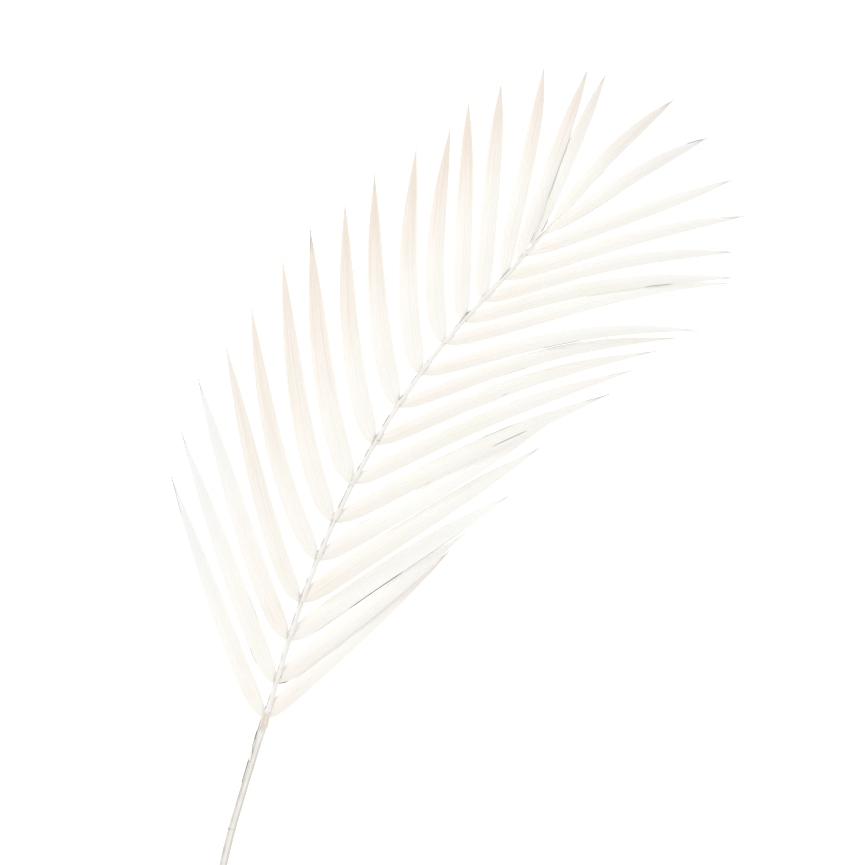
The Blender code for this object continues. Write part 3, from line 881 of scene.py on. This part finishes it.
def stem_material():
    """Woody stalk: pale, finely ribbed, olive on the petiole, with painted shade along its edges and dark
    flecks at its nodes.
    """
    shader = Shader("stalk_skin")
    shader.let_light_in(STALK_TRANSLUCENCE)
    turn, station, knot = shader.mark("turn"), shader.mark("station"), shader.mark("knot")
    fine, hair, cloud = (shader.streaks(*noise) for noise in (STALK_LINES, STALK_HAIRLINES, STALK_CLOUDS))
    petiole = shader.ramp(station, *PETIOLE_PART)
    colour = shader.mix(shader.ramp(cloud, *GREY_CLOUD), STALK, STALK_GREY)
    colour = shader.mix(shader.times(petiole, shader.ramp(cloud, *OLIVE_SKIN)), colour, STALK_OLIVE)
    colour = shader.mix(shader.times(knot, KNOT_STRENGTH), colour, KNOT)
    fleck = shader.ramp(shader.streaks(*FLECKS), *DARK_FLECK)
    colour = shader.mix(shader.times(knot, fleck), colour, STALK_DARK)
    colour = painted_shade_lines(shader, colour, turn, station, petiole)
    from_scar = shader.sum("ABSOLUTE", shader.sum("SUBTRACT", station, SCAR_STATION * MM))
    scar = shader.times(shader.ramp(from_scar, *SCAR_RING), shader.ramp(turn, *SCAR_SIDE))
    colour = shader.mix(scar, colour, STALK_DARK)
    colour = shader.mix(shader.ramp(hair, *DARK_HAIRLINES), colour, STALK_DARK)
    colour = shader.mix(shader.mark("cut"), colour, PITH)
    height = shader.sum("ADD", fine, shader.times(hair, STALK_HAIR))
    return shader.finish(colour, shader.ramp(fine, *STALK_ROUGHNESS), height, STALK_GRAIN)


# Sheath colours, linear
HUSK = (0.880, 0.790, 0.690)
HUSK_PALE = (0.925, 0.895, 0.840)
HUSK_DARK = (0.240, 0.165, 0.110)
FIBRE_DARK = (0.230, 0.210, 0.185)

# Sheath noises and ramps, as for the leaf
HUSK_NOISE = (900.0, 700.0, 2.0, 0.6)
SPECK_NOISE = (1400.0, 1400.0)
FIBRE_NOISE = (900.0, 900.0, 2.0, 0.6)
FLAKE_NOISE = (900.0, 500.0, 2.0, 0.6)
PALE_STRIP = (0.2, 0.8, 0.0, 1.0)
HUSK_PATCH = (0.4, 0.7, 0.0, 0.5)
SPECK = (0.62, 0.68, 0.0, 0.6)
EDGE = (0.55, 1.0, 0.0, 0.6)
EDGE_BREAKS = (0.3, 0.5, 0.3, 1.0)
FIBRE_PATCH = (0.35, 0.65, 0.0, 1.0)
HUSK_ROUGHNESS = (0.2, 0.8, 0.6, 0.8)
FLAKE_ROUGHNESS = (0.2, 0.8, 0.6, 0.75)
HUSK_GRAIN = 0.2 * MM
FIBRE_GRAIN = 0.1 * MM


def sheath_material():
    """Torn sheath: pale to tan strips with dark edges and specks."""
    shader = Shader("sheath_skin")
    grain, speck = shader.streaks(*HUSK_NOISE), shader.streaks(*SPECK_NOISE)
    colour = shader.mix(shader.ramp(shader.mark("tone"), *PALE_STRIP), HUSK, HUSK_PALE)
    colour = shader.mix(shader.ramp(grain, *HUSK_PATCH), colour, HUSK)
    colour = shader.mix(shader.ramp(speck, *SPECK), colour, HUSK_DARK)
    edge = shader.times(shader.ramp(shader.mark("across"), *EDGE), shader.ramp(grain, *EDGE_BREAKS))
    colour = shader.mix(edge, colour, HUSK_DARK)
    return shader.finish(colour, shader.ramp(grain, *HUSK_ROUGHNESS), grain, HUSK_GRAIN)


def fibre_material():
    """Dark grey dry fibre."""
    shader = Shader("fibre_skin")
    grain = shader.streaks(*FIBRE_NOISE)
    colour = shader.mix(shader.ramp(grain, *FIBRE_PATCH), FIBRE_DARK, STALK_DARK)
    return shader.finish(colour, shader.ramp(grain, *HUSK_ROUGHNESS), grain, FIBRE_GRAIN)


def flake_material():
    """Pale torn skin of the stalk."""
    shader = Shader("flake_skin")
    grain = shader.streaks(*FLAKE_NOISE)
    colour = shader.mix(shader.ramp(grain, *FIBRE_PATCH), STALK_GREY, STALK_OLIVE)
    return shader.finish(colour, shader.ramp(grain, *FLAKE_ROUGHNESS), grain, FIBRE_GRAIN)


FLOOR_SIZE = 60.0
FLOOR_COLOUR = (0.93, 0.93, 0.93, 1.0)
FLOOR_ROUGHNESS = 0.9
FLOOR_GLOW = 0.45
WHITE = (1.0, 1.0, 1.0, 1.0)
SKY_STRENGTH = 0.93
SUN_STRENGTH = 0.5
SUN_SOFTNESS = math.radians(35)
SUN_FROM = Vector((-0.45, 0.65, 0.75))


def make_floor():
    """Plain white floor, a little self-lit as a light table is."""
    mesh = bpy.data.meshes.new("floor")
    sheet = bmesh.new()
    bmesh.ops.create_grid(sheet, x_segments=1, y_segments=1, size=FLOOR_SIZE / 2)
    sheet.to_mesh(mesh)
    sheet.free()
    material = bpy.data.materials.new("floor_white")
    material.use_nodes = True
    skin = material.node_tree.nodes["Principled BSDF"]
    skin.inputs["Base Color"].default_value = FLOOR_COLOUR
    skin.inputs["Roughness"].default_value = FLOOR_ROUGHNESS
    skin.inputs["Emission Color"].default_value = WHITE
    skin.inputs["Emission Strength"].default_value = FLOOR_GLOW
    mesh.materials.append(material)
    floor = bpy.data.objects.new("floor", mesh)
    bpy.context.scene.collection.objects.link(floor)


def make_light():
    """Even sky and one broad light from the upper left."""
    world = bpy.data.worlds.new("soft_sky")
    world.use_nodes = True
    sky = world.node_tree.nodes["Background"]
    sky.inputs["Color"].default_value = WHITE
    sky.inputs["Strength"].default_value = SKY_STRENGTH
    bpy.context.scene.world = world
    sun = bpy.data.lights.new("soft_sun", "SUN")
    sun.energy = SUN_STRENGTH
    sun.angle = SUN_SOFTNESS
    lamp = bpy.data.objects.new("soft_sun", sun)
    lamp.rotation_mode = "QUATERNION"
    lamp.rotation_quaternion = SUN_FROM.to_track_quat("Z", "Y")
    bpy.context.scene.collection.objects.link(lamp)


def make_camera(centre):
    """Long-lens camera that looks straight down and frames what the photograph frames."""
    camera = bpy.data.cameras.new("camera")
    camera.sensor_width = SENSOR
    camera.lens = SENSOR * CAMERA_HEIGHT / (PICTURE_SIZE * PIXEL)
    camera.clip_end = 2 * CAMERA_HEIGHT
    seat = bpy.data.objects.new("camera", camera)
    middle = PICTURE_SIZE / 2
    seat.location = (
        (middle - HEEL_PIXEL[0]) * PIXEL - centre[0],
        (HEEL_PIXEL[1] - middle) * PIXEL - centre[1],
        CAMERA_HEIGHT,
    )
    bpy.context.scene.collection.objects.link(seat)
    bpy.context.scene.camera = seat


def main():
    """Builds every piece, the floor, the light and the camera."""
    leaflets = leaflet_rows("left", LEFT) + leaflet_rows("right", RIGHT)
    centre = frond_centre(leaflets)
    cut_ring = stem_points(-PETIOLE_LENGTH)[2] - stem_ring(-PETIOLE_LENGTH, 1.5 * math.pi)
    offset = np.array([-centre[0], -centre[1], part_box("frond")[0][2] - cut_ring])
    skin, stalk = leaf_material(), stem_material()
    for leaflet in leaflets:
        make_leaflet(leaflet, offset, skin)
    make_stem(offset, stalk)
    dark_fibre = fibre_material()
    make_sheath(offset, sheath_material())
    make_margin(offset, dark_fibre)
    make_axil_fibres(offset, dark_fibre)
    make_flake(offset, flake_material())
    make_floor()
    make_light()
    make_camera(centre)
    bpy.context.scene.view_settings.view_transform = "Standard"


main()
